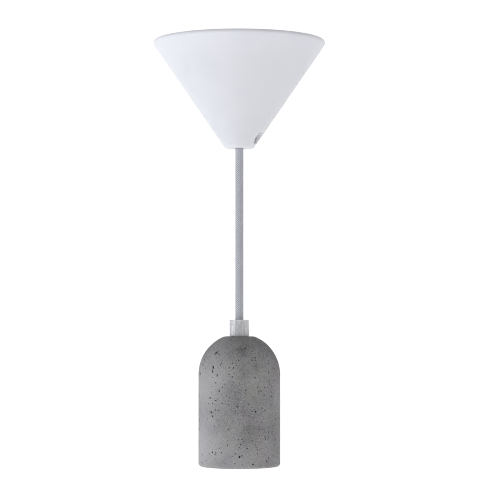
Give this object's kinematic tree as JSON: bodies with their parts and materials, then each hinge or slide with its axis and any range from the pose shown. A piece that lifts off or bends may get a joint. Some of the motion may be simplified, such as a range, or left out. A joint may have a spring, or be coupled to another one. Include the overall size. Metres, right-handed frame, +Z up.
{
  "type": "pendant ceiling light",
  "caption": "Pendant lampholder: round-topped cast concrete body on a textile cord, hung from a ceiling hook under a conical white canopy.",
  "frame": {"origin": "centre of the suspension eye, 16 mm below the ceiling", "axes": "+Z up the cord towards the ceiling, +Y along the eye's bore towards the back, +X to the right seen from the front"},
  "size_m": [0.126, 0.126, 0.3125],
  "materials": {
    "canopy_white": "satin",
    "nylon_white": "satin",
    "terminal_white": "satin",
    "zinc_steel": "satin",
    "brass": "satin",
    "cord_textile": "matte",
    "core_brown": "satin",
    "core_blue": "satin",
    "grip_frosted": "satin",
    "concrete": "matte",
    "holder_white": "satin",
    "steatite": "matte",
    "nickel_shell": "satin"
  },
  "bodies": {
    "ceiling": {"suspension_eye": "nylon_white", "clamp_plate": "nylon_white", "clamp_screws": "zinc_steel", "terminal_block": "terminal_white", "terminal_sleeves": "brass", "terminal_screws": "zinc_steel", "cord_upper": "cord_textile", "cord_feed": "cord_textile", "cord_coil": "cord_textile", "coil_ties": "nylon_white", "live_core_upper": "core_brown", "neutral_core_upper": "core_blue"},
    "canopy": {"canopy_cup": "canopy_white"},
    "canopy_screw": {"canopy_screw": "nylon_white"},
    "cord_bend": {"cord_link": "cord_textile"},
    "pendant": {"cord_lower": "cord_textile", "cord_grip": "grip_frosted", "threaded_nipple": "zinc_steel", "concrete_body": "concrete", "nipple_washer": "zinc_steel", "nipple_nut": "zinc_steel", "holder_cap": "holder_white", "contact_block": "steatite", "contact_rivets": "brass", "holder_terminals": "brass", "holder_terminal_screws": "zinc_steel", "live_core_lower": "core_brown", "neutral_core_lower": "core_blue", "screw_shell": "nickel_shell", "holder_skirt": "holder_white"},
    "grip_screw": {"grip_screw": "zinc_steel"},
    "centre_contact": {"centre_contact": "brass"}
  },
  "joints": [
    {"name": "canopy_slide", "type": "slide", "parent": "ceiling", "child": "canopy", "axis": [0, 0, -1], "range_m": [0, 0.03]},
    {"name": "canopy_screw_travel", "type": "slide", "parent": "canopy", "child": "canopy_screw", "axis": [0.9272, -0.3746, 0], "range_m": [0, 0.003]},
    {"name": "swing_front", "type": "hinge", "parent": "ceiling", "child": "cord_bend", "pos_m": [0, 0, -0.102], "axis": [1, 0, 0], "range_deg": [-25, 25]},
    {"name": "swing_side", "type": "hinge", "parent": "cord_bend", "child": "pendant", "pos_m": [0, 0, -0.118], "axis": [0, 1, 0], "range_deg": [-25, 25]},
    {"name": "grip_screw_travel", "type": "slide", "parent": "pendant", "child": "grip_screw", "axis": [0, 1, 0], "range_m": [0, 0.0015]},
    {"name": "contact_spring", "type": "hinge", "parent": "pendant", "child": "centre_contact", "pos_m": [0.009, 0, -0.2613], "axis": [0, 1, 0], "range_deg": [0, 10], "stiffness_Nm_per_rad": 0.13}
  ]
}
